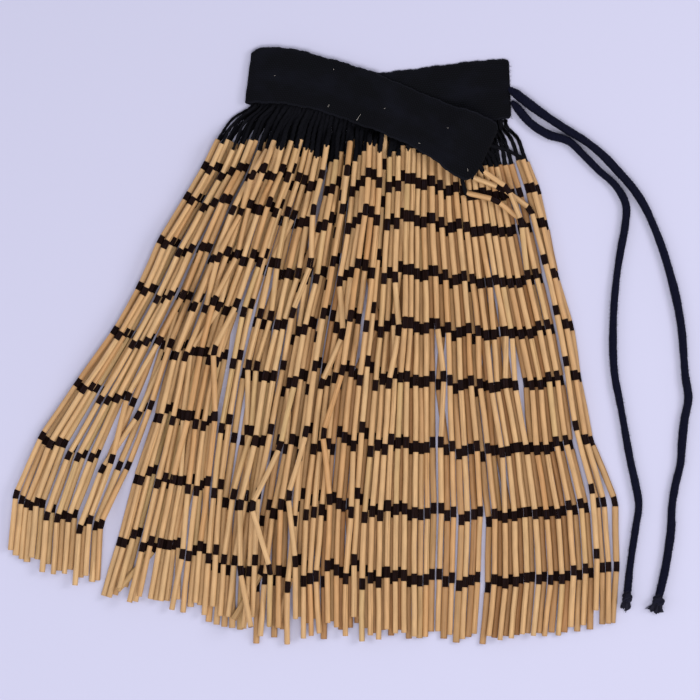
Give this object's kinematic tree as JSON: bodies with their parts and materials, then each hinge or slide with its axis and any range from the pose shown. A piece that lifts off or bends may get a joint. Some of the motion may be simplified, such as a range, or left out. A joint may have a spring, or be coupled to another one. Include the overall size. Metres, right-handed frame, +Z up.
{
  "type": "grass skirt",
  "caption": "Dance skirt of rolled flax strands with dyed black links, hung by strings from a folded woven waistband with two knotted ties, laid out flat.",
  "frame": {"origin": "On the surface the skirt lies on, under the middle of the box round the band and fringes.", "axes": "+X across the skirt towards the side of the ties, +Y from the hem towards the waistband, +Z up from the surface."},
  "size_m": [0.6148, 0.5381, 0.0455],
  "materials": {
    "band": "matt woven black fibre",
    "strands": "rolled flax leaf, satin, with black strings and links",
    "cord": "twisted black cord, matt"
  },
  "bodies": {
    "root": {"waistband": "band", "fringe_back": "strands", "fringe_front": "strands", "tie_outer": "cord", "tie_inner": "cord", "knot_outer": "cord", "knot_inner": "cord"}
  },
  "joints": []
}
